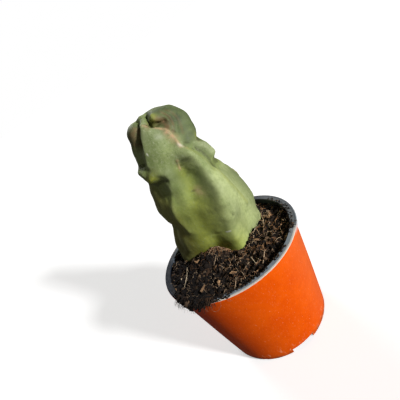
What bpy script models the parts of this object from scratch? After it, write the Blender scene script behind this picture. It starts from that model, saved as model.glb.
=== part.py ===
"""A totem pole cactus, the lumpy spineless kind, standing in the potting mix of a round nursery pot.

Metres, +Z up. The origin is the centre of the pot's feet, and the plant's broad face looks along -Y.
Sizes below are in millimetres, angles in degrees, anticlockwise from +X as seen from above.
"""

import math
import random

import bmesh
import bpy
import numpy as np

mm = 0.001

# The pot: a thin moulded cone with a rolled lip and a foot cut by four broad channels.
potHeight = 81.5
lipRadius = 52.5
lipDrop = 2.3
wallTopRadius = 50.4
footRadius = 39.6
footCorner = 3.5
wall = 0.9
potSides = 64
channelAngle = 6
channelWidth = 18
channelHeight = 3.3
hubRadius = 20
notchWidth = 3
notchHeight = 1.5
drainRadius = 3
drainReach = 29

# The potting mix: it fills the pot, heaped against the lip at the front left and low at the back.
clearance = 0.3
mixLevel = 78.6
mixRings = 12
clodCount = 40

# The stem: rows of height, centre X and Y, half width and half depth, from its buried tip up.
stemRows = (
    (50, 1, 19, 0, 0),
    (51, 1, 19, 12, 9),
    (56, 1, 19, 22, 15),
    (66, 0.5, 19, 29, 19),
    (78, 0.2, 19, 33.5, 21),
    (86, 1.0, 19, 33, 21.3),
    (97, 3.2, 18.8, 33, 21.5),
    (110, 5.2, 18.5, 30, 21),
    (125, 3.2, 18, 27.4, 20),
    (138, 3.6, 17, 25.6, 19),
    (150, 3.6, 16, 23.2, 18.5),
    (163, 5.4, 16, 21.6, 17.5),
    (173, 5.2, 16, 18.8, 15.5),
    (180, 4, 16, 14.8, 12.5),
    (184.4, 2.6, 16, 8.5, 7.5),
    (186, 2, 16, 0, 0),
)
stemSides = 168
stemRings = 104
stemTriangles = 6200
stemReach = 0.35

# Broad relief: each row is kind, push outward, width, then stops of (angle, height) along a line.
lobes = (
    # the left rib, a sharp crest with a smooth flank on its right
    ("crest", 3.6, 5, (240, 141), (236, 135), (231, 128), (227, 121), (230, 113), (234, 104), (236, 92)),
    ("swell", 1.5, 8, (250, 138), (244, 128), (242, 118), (242, 106)),
    # the valley between the left and the front rib, with a deep bowl at its top
    ("swell", -3.6, 6, (267, 145), (270, 138), (268, 131), (262, 124), (254, 115), (252, 104), (257, 95)),
    ("swell", -5.0, 5, (277, 153), (280, 146), (280, 138), (277, 131)),
    # the front rib, from the arch over the bowl down to its foot
    ("crest", 3.4, 5, (288, 156), (292, 149), (292, 141), (290, 134), (287, 126), (283, 117)),
    ("swell", 4.0, 7, (292, 157), (298, 151), (298, 143), (296, 134), (294, 125), (290, 116), (286, 108)),
    ("swell", 7.5, 10, (296, 124), (291, 113), (285, 102), (282, 91), (282, 80), (283, 72)),
    # the lower right lobe
    ("swell", 3.0, 9, (326, 128), (334, 118), (336, 108), (336, 98)),
    # the right shoulder
    ("swell", 2.8, 6, (306, 159), (316, 152), (326, 146), (330, 141)),
    # the right ear and the left lobe of the head, with the wedge between them
    ("swell", 2.6, 9, (322, 176), (326, 170), (324, 163)),
    ("swell", 1.2, 7, (228, 182), (210, 176)),
    ("swell", 1.6, 4, (288, 171), (285, 163)),
    ("swell", 1.6, 8, (262, 180), (255, 172), (250, 163), (257, 155), (262, 149)),
    ("crest", 1.8, 4, (246, 181), (234, 176), (229, 169), (223, 163), (221, 160)),
    ("swell", -1.4, 6, (209, 173), (208, 166)),
    # the small nub on the left
    ("swell", 2.4, 4, (188, 155), (203, 153), (213, 149)),
    # the hollow under the left rib, down to the potting mix
    ("swell", -5.0, 11, (226, 80), (242, 82), (256, 84)),
    # the back: three broken ribs and the hollows between them
    ("swell", 4.2, 8, (58, 176), (56, 165), (62, 156)),
    ("swell", 4.2, 9, (70, 141), (62, 128), (57, 112), (63, 96), (60, 80)),
    ("swell", 2.0, 7, (68, 143), (62, 136)),
    ("swell", 1.8, 8, (55, 116), (59, 108)),
    ("swell", -4.8, 7, (88, 170), (86, 156), (94, 140), (89, 122), (95, 104), (90, 86)),
    ("swell", 4.4, 8, (114, 178), (122, 165), (116, 155)),
    ("swell", 4.4, 9, (106, 140), (118, 128), (124, 112), (114, 97), (118, 80)),
    ("swell", 2.0, 7, (108, 138), (114, 130)),
    ("swell", 2.0, 8, (124, 112), (118, 103)),
    ("swell", -4.4, 7, (146, 170), (150, 152), (142, 134), (151, 112), (146, 88)),
    ("swell", 2.2, 8, (170, 168), (172, 154)),
    ("swell", 2.6, 8, (160, 136), (166, 122), (160, 108), (164, 92)),
    ("swell", -4.0, 7, (30, 162), (25, 146), (33, 128), (27, 108), (32, 86)),
)

# Creases and folds, pressed in along the relieved surface.
folds = (
    ("cut", -3.2, 2.2, (305, 139), (309, 130), (311, 122), (313, 114), (314, 106), (322, 98), (324, 84)),
    ("cut", -3.2, 2.2, (286, 162), (292, 158), (301, 153), (306, 146), (309, 139), (307, 134)),
    ("cut", -3.0, 2.4, (308, 139), (325, 137), (345, 135), (5, 134)),
    ("cut", -3.0, 2.0, (288, 163), (297, 160), (306, 158), (328, 155), (350, 155), (10, 157)),
    ("cut", -1.6, 1.6, (256, 183), (266, 181), (278, 179), (284, 174), (287, 169), (284, 164)),
    ("cut", -4.8, 2.2, (60, 185), (0, 185.6), (310, 185.2), (285, 183.6), (276, 180.5)),
    ("cut", -3.4, 1.7, (276, 181), (286, 178), (297, 177)),
    ("swell", 1.4, 2.6, (292, 183), (287, 181)),
    ("cut", -5.0, 2.0, (140, 184.6), (180, 185.6), (225, 184.9), (238, 182), (230, 178), (219, 173)),
    ("cut", -3.2, 2.0, (220, 157), (235, 153), (249, 150), (258, 147)),
    ("swell", -3.0, 4.0, (226, 148), (236, 147), (248, 145)),
    ("cut", -2.4, 2.0, (214, 161), (196, 160), (178, 160)),
    ("cut", -2.4, 2.0, (222, 146), (207, 146), (186, 147)),
    ("cut", -1.2, 2.0, (226, 122), (227, 114), (230, 106)),
    ("cut", -2.0, 1.8, (270, 160), (269, 154), (267, 148)),
    # the back: where its ribs are pinched off
    ("cut", -3.0, 3.2, (40, 152), (58, 149), (76, 150), (90, 146)),
    ("cut", -3.0, 3.2, (96, 150), (112, 148), (130, 144), (148, 147)),
    ("cut", -3.0, 2.2, (8, 140), (24, 136), (44, 133), (56, 122)),
    ("cut", -2.2, 2.8, (130, 100), (142, 98), (152, 97), (164, 99)),
    ("cut", -4.0, 2.0, (30, 174), (60, 180), (86, 176), (100, 182), (130, 178), (150, 168)),
    ("cut", -2.2, 2.8, (46, 100), (62, 98), (80, 101)),
    ("cut", -2.0, 2.8, (98, 121), (112, 123), (128, 120)),
)


def clearScene():
    for item in list(bpy.data.objects):
        bpy.data.objects.remove(item, do_unlink=True)


def newCollection(name):
    group = bpy.data.collections.new(name)
    bpy.context.scene.collection.children.link(group)
    return group


def paint(item, name, colour, roughness):
    material = bpy.data.materials.new(name)
    material.use_nodes = True
    shader = material.node_tree.nodes["Principled BSDF"]
    shader.inputs["Base Color"].default_value = (*colour, 1)
    shader.inputs["Roughness"].default_value = roughness
    shader.inputs["Metallic"].default_value = 0
    item.data.materials.clear()
    item.data.materials.append(material)


def newObject(name, mesh, group):
    item = bpy.data.objects.new(name, mesh)
    group.objects.link(item)
    return item


def evaluatedCopy(item):
    bpy.context.view_layer.update()
    graph = bpy.context.evaluated_depsgraph_get()
    return bpy.data.meshes.new_from_object(item.evaluated_get(graph))


def applyModifiers(item):
    mesh = evaluatedCopy(item)
    item.modifiers.clear()
    item.data = mesh


def asCutter(item, cutters):
    for group in list(item.users_collection):
        group.objects.unlink(item)
    cutters.objects.link(item)
    item.hide_render = True
    item.display_type = "WIRE"


def boolean(item, other, operation):
    modifier = item.modifiers.new(f"{operation.title()} {other.name}", "BOOLEAN")
    modifier.operation = operation
    modifier.solver = "EXACT"
    modifier.object = other
    return modifier


def turned(name, profile, group, sides=potSides):
    """A solid of revolution. The profile's (radius, height) points run down its outer side."""
    mesh = bpy.data.meshes.new(name)
    points = [(radius * mm, 0, height * mm) for radius, height in profile]
    mesh.from_pydata(points, [(i, i + 1) for i in range(len(points) - 1)], [])
    item = newObject(name, mesh, group)
    screw = item.modifiers.new("Turn", "SCREW")
    screw.steps = sides
    screw.render_steps = sides
    screw.use_merge_vertices = True
    screw.merge_threshold = 0.00001
    applyModifiers(item)
    return item


# ---- the pot ----


def outsideRadius(height):
    """The wall's outer radius: a straight taper with the faint swell of a moulded pot."""
    t = height / (potHeight - lipDrop)
    return footRadius + (wallTopRadius - footRadius) * t + 1.2 * t * (1 - t)


def shellProfile(inset, top, rows=3):
    """Points down the wall, inset from its outer face, round the foot's corner to the axis."""
    corner = footCorner - inset
    start = footCorner
    heights = [top + (start - top) * i / rows for i in range(rows + 1)]
    points = [(outsideRadius(height) - inset, height) for height in heights]
    edge = points[-1][0]
    for step in range(1, 4):
        turn = math.radians(30 * step)
        points.append((edge - corner * (1 - math.cos(turn)), start - corner * math.sin(turn)))
    return points + [(0, inset)]


def lipProfile():
    under = potHeight - lipDrop
    return [
        (0, potHeight),
        (lipRadius - 0.9, potHeight),
        (lipRadius - 0.25, potHeight - 0.25),
        (lipRadius, potHeight - 0.9),
        (lipRadius, under + 0.7),
        (lipRadius - 0.3, under + 0.1),
        (lipRadius - 0.9, under),
    ]


def bar(name, width, height, angle, group):
    """A bar through the axis, from below the feet up to the given height."""
    bpy.ops.mesh.primitive_cube_add(size=1)
    item = bpy.context.object
    item.name = name
    item.scale = (0.13, width * mm, (height + 1) * mm)
    item.location = (0, 0, (height - 1) / 2 * mm)
    item.rotation_euler = (0, 0, math.radians(angle))
    asCutter(item, group)
    return item


def drum(name, radius, bottom, top, group, x=0, y=0, sides=32):
    bpy.ops.mesh.primitive_cylinder_add(
        vertices=sides,
        radius=radius * mm,
        depth=(top - bottom) * mm,
        location=(x * mm, y * mm, (top + bottom) / 2 * mm),
    )
    item = bpy.context.object
    item.name = name
    asCutter(item, group)
    return item


def footCutters(grow, group):
    """The hollow under the pot: a hub, four broad channels and four small notches, grown by a wall."""
    broad = channelWidth + 2 * grow
    small = notchWidth + 2 * grow
    name = f"foot {grow:.1f}"
    tools = [drum(f"{name} hub", hubRadius + grow, -1, channelHeight + grow, group)]
    for turn in (0, 90):
        angle = channelAngle + turn
        tools.append(bar(f"{name} channel {turn}", broad, channelHeight + grow, angle, group))
        tools.append(bar(f"{name} notch {turn}", small, notchHeight + grow, angle + 45, group))
    return tools


def shellSolid(name, inset, top, group, sides=potSides):
    """A solid that fills the pot up to its own wall inset, with the foot's hollow pressed up in it."""
    profile = [(0, top)] + shellProfile(inset, top)
    return turned(name, profile, group, sides)


def makePot(parts, cutters):
    profile = lipProfile() + shellProfile(0, potHeight - lipDrop)
    pot = turned("pot", profile, parts)
    room = shellSolid("room", wall, potHeight + 3, cutters)
    for tool in footCutters(wall, cutters):
        boolean(room, tool, "DIFFERENCE")
    applyModifiers(room)
    asCutter(room, cutters)
    for tool in footCutters(0, cutters):
        boolean(pot, tool, "DIFFERENCE")
    boolean(pot, room, "DIFFERENCE")
    for turn in range(4):
        angle = math.radians(channelAngle + 90 * turn)
        x, y = drainReach * math.cos(angle), drainReach * math.sin(angle)
        boolean(pot, drum(f"drain {turn}", drainRadius, -2, 6, cutters, x, y, 16), "DIFFERENCE")
    boolean(pot, drum("drain hub", drainRadius, -2, 6, cutters, 0, 0, 16), "DIFFERENCE")
    applyModifiers(pot)
    paint(pot, "orange plastic", (0.82, 0.16, 0.02), 0.42)
    return pot


# ---- the stem ----


def smoothRows(keys, rows, wanted):
    """Rows read at any key along a smooth curve through them."""
    keys, rows = np.asarray(keys, float), np.asarray(rows, float)
    slopes = np.gradient(rows, keys, axis=0)
    low = np.clip(np.searchsorted(keys, wanted) - 1, 0, len(keys) - 2)
    span = (keys[low + 1] - keys[low])[:, None]
    t = (wanted - keys[low])[:, None] / span
    rise = t * t * (3 - 2 * t)
    ends = rows[low] * (1 - rise) + rows[low + 1] * rise
    return ends + span * t * (1 - t) * ((1 - t) * slopes[low] - t * slopes[low + 1])


def stemKeys():
    """How far along the stem's outline each row lies, from 0 at its buried tip to 1 at its crown."""
    rows = np.array(stemRows, float)
    steps = np.hypot(np.diff(rows[:, 0]), np.diff(rows[:, 3]))
    lengths = np.concatenate([[0], np.cumsum(steps)])
    return lengths / lengths[-1]


def stemPoints(along, angles):
    rows = smoothRows(stemKeys(), stemRows, along)
    turn = np.radians(angles)
    x = rows[:, 1] + rows[:, 3] * np.cos(turn)
    y = rows[:, 2] + rows[:, 4] * np.sin(turn)
    return np.stack([x, y, rows[:, 0]], axis=1)


def stemLine(stops, perStop=5):
    """A smooth line on the plain stem through stops of (angle, height)."""
    stops = np.array(stops, float)
    stops[:, 0] = np.degrees(np.unwrap(np.radians(stops[:, 0])))
    keys = np.arange(len(stops))
    wanted = np.linspace(0, len(stops) - 1, perStop * (len(stops) - 1) + 1)
    line = smoothRows(keys, stops, wanted)
    heights = [row[0] for row in stemRows]
    return stemPoints(np.interp(line[:, 1], heights, stemKeys()), line[:, 0])


def distanceToLine(points, line):
    best = np.full(len(points), np.inf)
    for start, end in zip(line[:-1], line[1:]):
        along = end - start
        t = np.clip((points - start) @ along / (along @ along), 0, 1)
        best = np.minimum(best, np.linalg.norm(points - start - t[:, None] * along, axis=1))
    return best


def reliefShape(kind, distance, width):
    """How strongly a stroke acts at a distance: rounded for a swell, pointed for a crest or a cut."""
    if kind == "swell":
        return np.exp(-((distance / width) ** 2))
    blunt = width * (0.16 if kind == "crest" else 0.12)
    return np.exp(-(np.hypot(distance, blunt) - blunt) / (0.62 * width))


def relief(points, onLine, strokes):
    """The push at each point, from strokes laid on the plain stem."""
    push = np.zeros(len(points))
    for kind, height, width, *stops in strokes:
        line = stemLine(stops)
        reach = 3.2 * width
        near = np.all((onLine > line.min(0) - reach) & (onLine < line.max(0) + reach), axis=1)
        push[near] += height * reliefShape(kind, distanceToLine(onLine[near], line), width)
    return push


def meshPoints(mesh):
    flat = np.empty(len(mesh.vertices) * 3)
    mesh.vertices.foreach_get("co", flat)
    return flat.reshape(-1, 3)


def setPoints(mesh, points):
    mesh.vertices.foreach_set("co", np.ascontiguousarray(points, np.float32).ravel())
    mesh.update()


def meshNormals(mesh):
    flat = np.empty(len(mesh.vertices) * 3, np.float32)
    mesh.vertex_normals.foreach_get("vector", flat)
    return flat.reshape(-1, 3).astype(float)


def makeStem(parts):
    bpy.ops.mesh.primitive_uv_sphere_add(segments=stemSides, ring_count=stemRings, radius=1)
    stem = bpy.context.object
    stem.name = "cactus_stem"
    unit = meshPoints(stem.data)
    along = np.arccos(np.clip(-unit[:, 2], -1, 1)) / math.pi
    angles = np.degrees(np.arctan2(unit[:, 1], unit[:, 0]))
    plain = stemPoints(along, angles)
    setPoints(stem.data, plain * mm)
    points = plain + meshNormals(stem.data) * relief(plain, plain, lobes)[:, None]
    setPoints(stem.data, points * mm)
    points = points + meshNormals(stem.data) * relief(points, plain, folds)[:, None]
    setPoints(stem.data, points * mm)
    thin = stem.modifiers.new("Thin out", "DECIMATE")
    thin.ratio = stemTriangles / (2 * stemSides * (stemRings - 1))
    applyModifiers(stem)
    stem.data.shade_smooth()
    for group in list(stem.users_collection):
        group.objects.unlink(stem)
    parts.objects.link(stem)
    paint(stem, "stem skin", (0.16, 0.23, 0.07), 0.5)
    return stem


def stemCutter(stem, cutters):
    """The stem grown by the clearance, to cut its plain hole."""
    mesh = stem.data.copy()
    points = meshPoints(mesh) + meshNormals(mesh) * stemReach * mm
    setPoints(mesh, points)
    cutter = newObject("stem room", mesh, cutters)
    asCutter(cutter, cutters)
    return cutter


# ---- the potting mix ----


def mixHeight(x, y):
    """The surface of the mix: high at the front left, low at the back right, with a seeded roughness."""
    radius = math.hypot(x, y)
    angle = math.atan2(y, x)
    heap = 3.6 * max(0, math.cos(angle - math.radians(215))) ** 2 * (radius / 48) ** 1.5
    heap += 4.5 * math.exp(-(((x + 20) / 13) ** 2 + ((y + 2) / 11) ** 2))
    dip = -2.6 * max(0, math.cos(angle - math.radians(50))) * (radius / 48)
    waves = 0.45 * math.sin(0.55 * x + 1.3) * math.cos(0.5 * y) + 0.35 * math.sin(0.9 * y - 0.6 * x)
    return mixLevel + heap + dip + waves


def mixSolid(parts, cutters):
    inset = wall + clearance
    top = mixLevel
    edge = outsideRadius(top) - inset
    rings = [(edge * i / mixRings, top) for i in range(mixRings)]
    mix = turned("potting_mix", rings + shellProfile(inset, top), parts)
    points = meshPoints(mix.data)
    rows = []
    for x, y, z in points / mm:
        if z > mixLevel - 0.01:
            z = mixHeight(x, y)
        fit = min(1, (outsideRadius(z) - inset) / max(math.hypot(x, y), 1))
        rows.append((x * fit, y * fit, z))
    setPoints(mix.data, np.array(rows) * mm)
    for tool in footCutters(inset, cutters):
        boolean(mix, tool, "DIFFERENCE")
    applyModifiers(mix)
    return mix


def clodPlaces():
    """Seeded places over the mix, kept off the wall and off the stem."""
    pick = random.Random(11)
    places = []
    while len(places) < clodCount:
        radius = 46 * math.sqrt(pick.random())
        angle = pick.uniform(0, 2 * math.pi)
        x, y = radius * math.cos(angle), radius * math.sin(angle)
        size = pick.uniform(1.1, 2.3)
        offStem = ((x - 1) / (35 + size)) ** 2 + ((y - 14) / (29 + size)) ** 2 > 1
        apart = all(math.dist((x, y), place[:2]) > size + place[2] for place in places)
        if offStem and apart and radius < 48 - size:
            places.append((x, y, size))
    return places, pick


def addClods(mix):
    places, pick = clodPlaces()
    clods = bpy.data.collections.new("clods")
    bpy.context.scene.collection.children.link(clods)
    for x, y, size in places:
        bpy.ops.mesh.primitive_ico_sphere_add(subdivisions=1, radius=size * mm)
        clod = bpy.context.object
        clod.location = (x * mm, y * mm, (mixHeight(x, y) + 0.1 * size) * mm)
        clod.rotation_euler = [pick.uniform(0, math.pi) for axis in range(3)]
        clod.scale = (1, pick.uniform(0.7, 1), pick.uniform(0.6, 0.8))
        for group in list(clod.users_collection):
            group.objects.unlink(clod)
        clods.objects.link(clod)
    union = mix.modifiers.new("Clods", "BOOLEAN")
    union.operation = "UNION"
    union.solver = "EXACT"
    union.operand_type = "COLLECTION"
    union.collection = clods
    applyModifiers(mix)
    for clod in list(clods.objects):
        bpy.data.objects.remove(clod, do_unlink=True)
    bpy.data.collections.remove(clods)


def makeMix(parts, cutters, stem):
    mix = mixSolid(parts, cutters)
    addClods(mix)
    hole = boolean(mix, stemCutter(stem, cutters), "DIFFERENCE")
    hole.solver = "MANIFOLD"
    applyModifiers(mix)
    paint(mix, "potting mix", (0.045, 0.028, 0.018), 0.95)
    return mix


def main():
    clearScene()
    parts = newCollection("totem_pole_cactus")
    cutters = newCollection("cutters")
    makePot(parts, cutters)
    stem = makeStem(parts)
    makeMix(parts, cutters, stem)


main()
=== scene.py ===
import math
import random

import bpy
import numpy as np
from mathutils import Matrix, Vector


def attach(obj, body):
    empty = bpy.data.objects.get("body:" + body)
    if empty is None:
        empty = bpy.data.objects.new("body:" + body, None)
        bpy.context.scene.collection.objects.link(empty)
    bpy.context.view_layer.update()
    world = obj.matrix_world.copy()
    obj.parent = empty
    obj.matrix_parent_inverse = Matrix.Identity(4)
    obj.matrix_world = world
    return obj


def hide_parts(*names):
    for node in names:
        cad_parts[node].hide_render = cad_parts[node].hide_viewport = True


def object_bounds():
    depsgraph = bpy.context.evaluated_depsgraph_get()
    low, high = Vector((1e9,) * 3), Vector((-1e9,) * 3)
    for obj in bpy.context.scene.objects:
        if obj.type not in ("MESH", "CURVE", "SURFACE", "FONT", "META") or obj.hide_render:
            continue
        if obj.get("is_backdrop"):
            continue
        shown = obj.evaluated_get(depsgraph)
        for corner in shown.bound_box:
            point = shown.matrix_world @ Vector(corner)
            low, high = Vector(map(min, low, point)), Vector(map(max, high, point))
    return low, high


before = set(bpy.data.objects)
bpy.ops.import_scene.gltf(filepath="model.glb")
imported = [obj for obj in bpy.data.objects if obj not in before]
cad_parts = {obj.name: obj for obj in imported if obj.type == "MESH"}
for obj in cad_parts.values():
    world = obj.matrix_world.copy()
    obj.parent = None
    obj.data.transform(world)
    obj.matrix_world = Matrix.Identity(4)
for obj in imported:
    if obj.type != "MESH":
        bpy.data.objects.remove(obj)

# A totem pole cactus in the potting mix of an orange nursery pot.
# Sizes in the dictionaries are millimetres, and angles are degrees anticlockwise from +X seen from above.

mm = 0.001
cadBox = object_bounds()
print("frame loaded:", ", ".join(sorted(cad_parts)))


# small helpers for working in the 3D view

def mode(name):
    bpy.ops.object.mode_set(mode=name)


def deselect():
    if bpy.context.mode != "OBJECT":
        mode("OBJECT")
    bpy.ops.object.select_all(action="DESELECT")


def pick(item):
    deselect()
    item.select_set(True)
    bpy.context.view_layer.objects.active = item
    return item


def named(name):
    item = bpy.context.object
    item.name = name
    item.data.name = name
    return item


def applyAll(item):
    pick(item)
    for modifier in list(item.modifiers):
        bpy.ops.object.modifier_apply(modifier=modifier.name)
    return item


def divided(item):  # cuts each face into four without rounding it
    finer = item.modifiers.new("Finer", "SUBSURF")
    finer.subdivision_type = "SIMPLE"
    finer.levels = 1
    finer.render_levels = 1
    return applyAll(item)


def settle(item):  # puts the place, turn and size into the mesh
    pick(item)
    bpy.ops.object.transform_apply(location=True, rotation=True, scale=True)
    return item


def scrap(*items):
    for item in items:
        bpy.data.objects.remove(item, do_unlink=True)


def cut(item, other):
    tool = item.modifiers.new("Cut", "BOOLEAN")
    tool.operation = "DIFFERENCE"
    tool.solver = "EXACT"
    tool.object = other
    applyAll(item)
    scrap(other)


def readPoints(mesh):
    flat = np.empty(len(mesh.vertices) * 3)
    mesh.vertices.foreach_get("co", flat)
    return flat.reshape(-1, 3)


def writePoints(mesh, points):
    mesh.vertices.foreach_set("co", np.ascontiguousarray(points, np.float32).ravel())
    mesh.update()


def readNormals(mesh):
    flat = np.empty(len(mesh.vertices) * 3, np.float32)
    mesh.vertex_normals.foreach_get("vector", flat)
    return flat.reshape(-1, 3).astype(float)


def readEdges(mesh):
    flat = np.empty(len(mesh.edges) * 2, np.int32)
    mesh.edges.foreach_get("vertices", flat)
    return flat.reshape(-1, 2)


def storeValue(mesh, name, values):  # one value for all points or one for each
    layer = mesh.attributes.get(name) or mesh.attributes.new(name, "FLOAT", "POINT")
    each = np.broadcast_to(values, len(mesh.vertices))
    layer.data.foreach_set("value", np.ascontiguousarray(each, np.float32))


def around(radius, angle, *height):  # a place at this distance and angle, in radians, from the axis
    return (radius * math.cos(angle), radius * math.sin(angle), *height)


def lumps(points, size, seed):  # a smooth random value from -1 to 1, in lumps of this size
    cells = np.asarray(points) / size
    low = np.floor(cells).astype(np.int64)
    part = cells - low
    part = part * part * (3 - 2 * part)
    total = np.zeros(len(cells))
    for corner in range(8):
        step = np.array([corner & 1, corner >> 1 & 1, corner >> 2 & 1])
        x, y, z = (low + step).T
        mixed = x * 73856093 ^ y * 19349663 ^ z * 83492791 ^ seed * 49979687
        mixed = (mixed ^ mixed >> 13) * 1274126177 & 0x7FFFFFFF
        share = np.prod(np.where(step, part, 1 - part), axis=1)
        total += share * (mixed / 0x3FFFFFFF - 1)
    return total


# node materials

class Wire:  # a socket that sums, differences and products can be written with
    def __init__(self, finish, socket):
        self.finish, self.socket = finish, socket

    def maths(self, operation, first, second):
        return self.finish.node("Math", {"operation": operation}, {0: first, 1: second})

    def __add__(self, other):
        return self.maths("ADD", self, other)

    __radd__ = __add__

    def __sub__(self, other):
        return self.maths("SUBTRACT", self, other)

    def __rsub__(self, other):
        return self.maths("SUBTRACT", other, self)

    def __mul__(self, other):
        return self.maths("MULTIPLY", self, other)

    __rmul__ = __mul__


class Finish:
    def __init__(self, name, **constants):
        self.material = bpy.data.materials.new(name)
        self.material.use_nodes = True
        self.nodes = self.material.node_tree.nodes
        self.links = self.material.node_tree.links
        self.shader = self.nodes["Principled BSDF"]
        for socket, value in constants.items():
            self.shader.inputs[socket.replace("_", " ")].default_value = value

    def node(self, kind, settings=None, sockets=None, output=0):
        node = self.nodes.new("ShaderNode" + kind)
        for name, value in (settings or {}).items():
            setattr(node, name, value)
        for name, value in (sockets or {}).items():
            if isinstance(value, Wire):
                self.links.new(value.socket, node.inputs[name])
            else:
                node.inputs[name].default_value = value
        return Wire(self, node.outputs[output])

    def place(self, scale=(1, 1, 1), turn=(0, 0, 0)):
        where = self.node("TexCoord", output="Object")
        return self.node("Mapping", None, {"Vector": where, "Scale": scale, "Rotation": turn})

    def axis(self, letter):  # in metres
        return self.node("SeparateXYZ", None, {0: self.node("TexCoord", output="Object")}, letter)

    def noise(self, size, detail=3.0, rough=0.55, warp=0.0, where=None):  # size in mm
        settings = {"Scale": 1 / (size * mm), "Detail": detail, "Roughness": rough, "Distortion": warp}
        return self.node("TexNoise", None, {"Vector": where or self.place(), **settings})

    def layer(self, name):
        return self.node("Attribute", {"attribute_name": name}, None, "Fac")

    def ramp(self, value, low, high, fromValue=0.0, toValue=1.0):
        sockets = {"Value": value, "From Min": low, "From Max": high, "To Min": fromValue, "To Max": toValue}
        return self.node("MapRange", {"interpolation_type": "SMOOTHSTEP"}, sockets)

    def blend(self, share, first, second, how="MIX"):
        settings = {"data_type": "RGBA", "blend_type": how, "clamp_factor": True}
        colours = {6: first, 7: second}
        for key, value in colours.items():
            if isinstance(value, tuple):
                colours[key] = (*value, 1)
        return self.node("Mix", settings, {0: share, **colours}, 2)

    def coated(self, colour, *coats):  # lays each coat, a share and its colour, over what is there
        for share, tone, *how in coats:
            colour = self.blend(share, colour, tone, *how)
        return colour

    def feed(self, **sockets):
        for name, value in sockets.items():
            self.links.new(value.socket, self.shader.inputs[name.replace("_", " ")])

    def bump(self, height, depth, strength):  # depth in mm
        return self.node("Bump", None, {"Height": height, "Distance": depth * mm, "Strength": strength})


def wear(item, *finishes):
    item.data.materials.clear()
    for finish in finishes:
        item.data.materials.append(finish.material)


# camera, light and floor

view = {
    "place": (0, -221.39, 222.541),
    "turn": (60.8553, 31.3749, -16.768),
    "lens": 32.931,
    "sensor": 36,
    "nearest": 10,
}

studio = {
    # lights: direction they come from, power and spread
    "key": ((0.59, -0.73, 0.34), 4, 7),
    "fill": ((-0.15, 0.85, 0.5), 1.3, 30),
    "air": 0.085,
    "airTint": (1.0, 0.94, 0.84),
    "backdrop": 1.0,
    "floorSize": 60,  # in metres
    "floorShade": 0.2,
    "floorGlow": 0.5,
}


def makeCamera():
    deselect()
    place = [value * mm for value in view["place"]]
    turn = [math.radians(value) for value in view["turn"]]
    bpy.ops.object.camera_add(location=place, rotation=turn)
    camera = named("camera")
    camera.data.sensor_width = view["sensor"]
    camera.data.lens = view["lens"]
    camera.data.clip_start = view["nearest"] * mm
    bpy.context.scene.camera = camera


def addSun(name, source, power, spread):
    deselect()
    turn = Vector(source).to_track_quat("Z", "Y").to_euler()
    bpy.ops.object.light_add(type="SUN", location=Vector(source), rotation=turn)
    sun = named(name)
    sun.data.energy = power
    sun.data.angle = math.radians(spread)


def makeStudio():
    for name in ("key", "fill"):
        addSun(name, *studio[name])
    world = bpy.data.worlds.new("studio air")
    bpy.context.scene.world = world
    world.use_nodes = True
    nodes, links = world.node_tree.nodes, world.node_tree.links
    air = nodes["Background"]
    air.inputs["Color"].default_value = (*studio["airTint"], 1)
    air.inputs["Strength"].default_value = studio["air"]
    backdrop = nodes.new("ShaderNodeBackground")
    backdrop.inputs["Color"].default_value = (1, 1, 1, 1)
    backdrop.inputs["Strength"].default_value = studio["backdrop"]
    mixed = nodes.new("ShaderNodeMixShader")
    links.new(nodes.new("ShaderNodeLightPath").outputs["Is Camera Ray"], mixed.inputs[0])
    links.new(air.outputs[0], mixed.inputs[1])
    links.new(backdrop.outputs[0], mixed.inputs[2])
    links.new(mixed.outputs[0], nodes["World Output"].inputs["Surface"])
    bpy.context.scene.view_settings.view_transform = "Standard"
    deselect()
    bpy.ops.mesh.primitive_plane_add(size=studio["floorSize"], location=(0, 0, 0))
    floor = named("floor")
    pale = Finish("pale floor", Roughness=0.9, Emission_Strength=1)
    mottle = pale.blend(pale.noise(60, 2.0), (0.86, 0.86, 0.86), (0.9, 0.9, 0.9))
    shade, glow = studio["floorShade"], studio["floorGlow"]
    seen = pale.node("LightPath", output="Is Camera Ray")  # the floor throws little light back up
    pale.feed(
        Base_Color=pale.blend(seen, (shade, shade, shade), mottle),
        Emission_Color=pale.blend(seen, (0, 0, 0), (glow, glow, glow)),
    )
    wear(floor, pale)
    floor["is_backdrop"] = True


makeCamera()
makeStudio()
print("camera, lights and floor placed")


# the stem

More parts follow.
